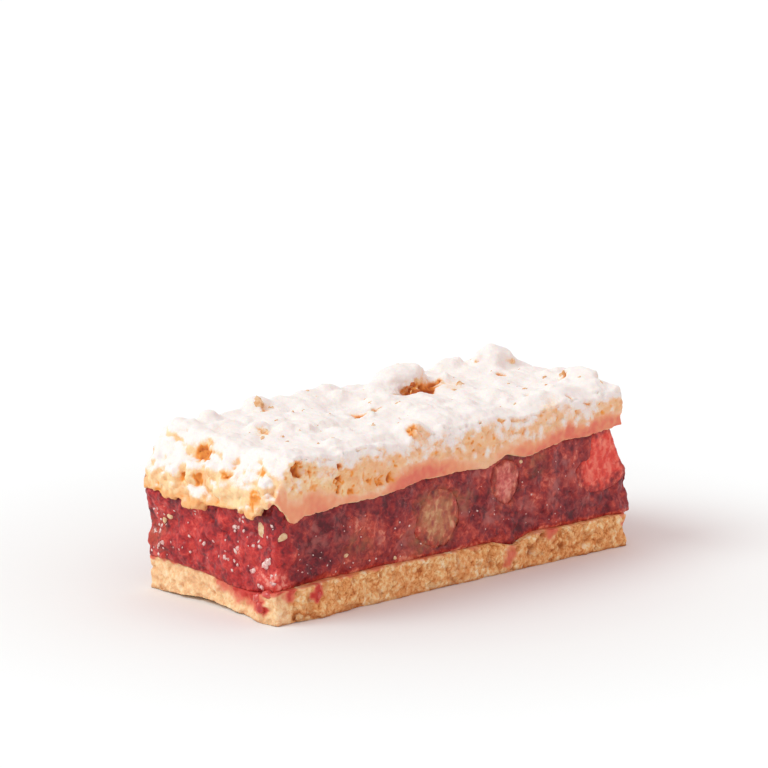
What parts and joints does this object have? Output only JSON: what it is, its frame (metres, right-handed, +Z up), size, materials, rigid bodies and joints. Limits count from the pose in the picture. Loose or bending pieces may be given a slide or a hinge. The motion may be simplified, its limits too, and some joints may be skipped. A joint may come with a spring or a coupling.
{
  "type": "currant cake bar",
  "caption": "Cut rectangular bar of currant cake: shortcrust base, set red currant filling and a sugared crumble top, flat underneath.",
  "frame": {"origin": "middle of the flat underside, in the plane it rests on", "axes": "+X along the bar, away from the end whose crumble has crumbled; +Z up; the long face that shows the larger fruit pieces looks to -Y"},
  "size_m": [0.1168, 0.0482, 0.0461],
  "materials": {
    "shortcrust": "baked shortcrust, dry and porous, golden",
    "currant_filling": "set cooked fruit, moist, dark red",
    "pale_fruit": "cut pale berry, moist and translucent",
    "rose_fruit": "cut rose-red berry, moist",
    "red_fruit": "cut bright red fruit, moist",
    "crumble": "baked crumble dusted thickly with icing sugar, matt"
  },
  "bodies": {
    "root": {"shortcrust_base": "shortcrust", "currant_filling": "currant_filling", "pale_berry": "pale_fruit", "rose_berry": "rose_fruit", "red_fruit_piece": "red_fruit", "crumble_topping": "crumble"}
  },
  "joints": []
}
